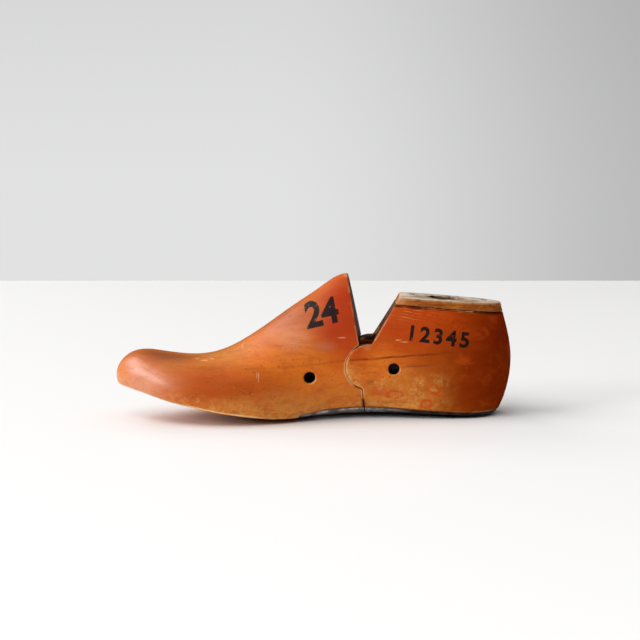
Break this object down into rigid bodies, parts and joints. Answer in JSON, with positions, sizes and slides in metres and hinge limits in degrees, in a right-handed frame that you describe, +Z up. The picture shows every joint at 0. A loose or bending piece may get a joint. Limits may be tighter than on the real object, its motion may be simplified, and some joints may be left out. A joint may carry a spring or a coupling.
{
  "type": "shoe last",
  "caption": "Hinged wooden shoe last for a low heeled shoe, with a V cut, a round nose joint, a nailed cap and steel plates under shank and heel.",
  "frame": {"origin": "middle of the box round the last, at the level of the surface that it stands on", "axes": "+X runs from the toe to the heel, -Y is the inner side of a right foot, +Z is up"},
  "size_m": [0.223, 0.0781, 0.0808],
  "materials": {
    "maple": "maple under aged orange shellac, satin, worn along its edges",
    "cap_wood": "bare worn wood, dull, greyed on top",
    "plate_steel": "worn sheet steel, dull grey",
    "dark_steel": "dark oiled steel"
  },
  "bodies": {
    "forepart": {"forepart": "maple", "shank_plate": "plate_steel", "front_hinge_pin": "dark_steel", "shank_plate_screw_1": "plate_steel", "shank_plate_screw_2": "plate_steel", "shank_plate_screw_3": "plate_steel", "shank_plate_screw_4": "plate_steel"},
    "heel": {"heel_part": "maple", "cone_cap": "cap_wood", "heel_plate": "plate_steel", "cap_nail_1": "dark_steel", "cap_nail_2": "dark_steel", "jack_thimble": "dark_steel", "rear_hinge_pin": "dark_steel", "heel_plate_screw_1": "plate_steel", "heel_plate_screw_2": "plate_steel", "heel_plate_screw_3": "plate_steel", "heel_plate_screw_4": "plate_steel", "heel_plate_screw_5": "plate_steel", "heel_plate_screw_6": "plate_steel"},
    "rod": {"draw_rod": "dark_steel", "hinge_spring": "dark_steel", "spring_washer": "plate_steel", "rod_nut": "plate_steel"},
    "stirrup": {"link_stirrup": "dark_steel"}
  },
  "joints": [
    {"name": "heel_break", "type": "hinge", "parent": "forepart", "child": "heel", "pos_m": [0.0306, 0.00992, 0.03049], "axis": [0, -1, 0], "range_deg": [0, 29]},
    {"name": "rod_swing", "type": "hinge", "parent": "forepart", "child": "rod", "pos_m": [-0.00182, 0.00992, 0.02582], "axis": [0, -1, 0], "range_deg": [0, 8.73]},
    {"name": "stirrup_swing", "type": "hinge", "parent": "heel", "child": "stirrup", "pos_m": [0.04469, 0.00992, 0.02928], "axis": [0, -1, 0], "range_deg": [-20.28, 0]}
  ],
  "couplings": [
    {"joint": "rod_swing", "follows": "heel_break", "ratio": 0.3008},
    {"joint": "stirrup_swing", "follows": "heel_break", "ratio": -0.6992}
  ]
}
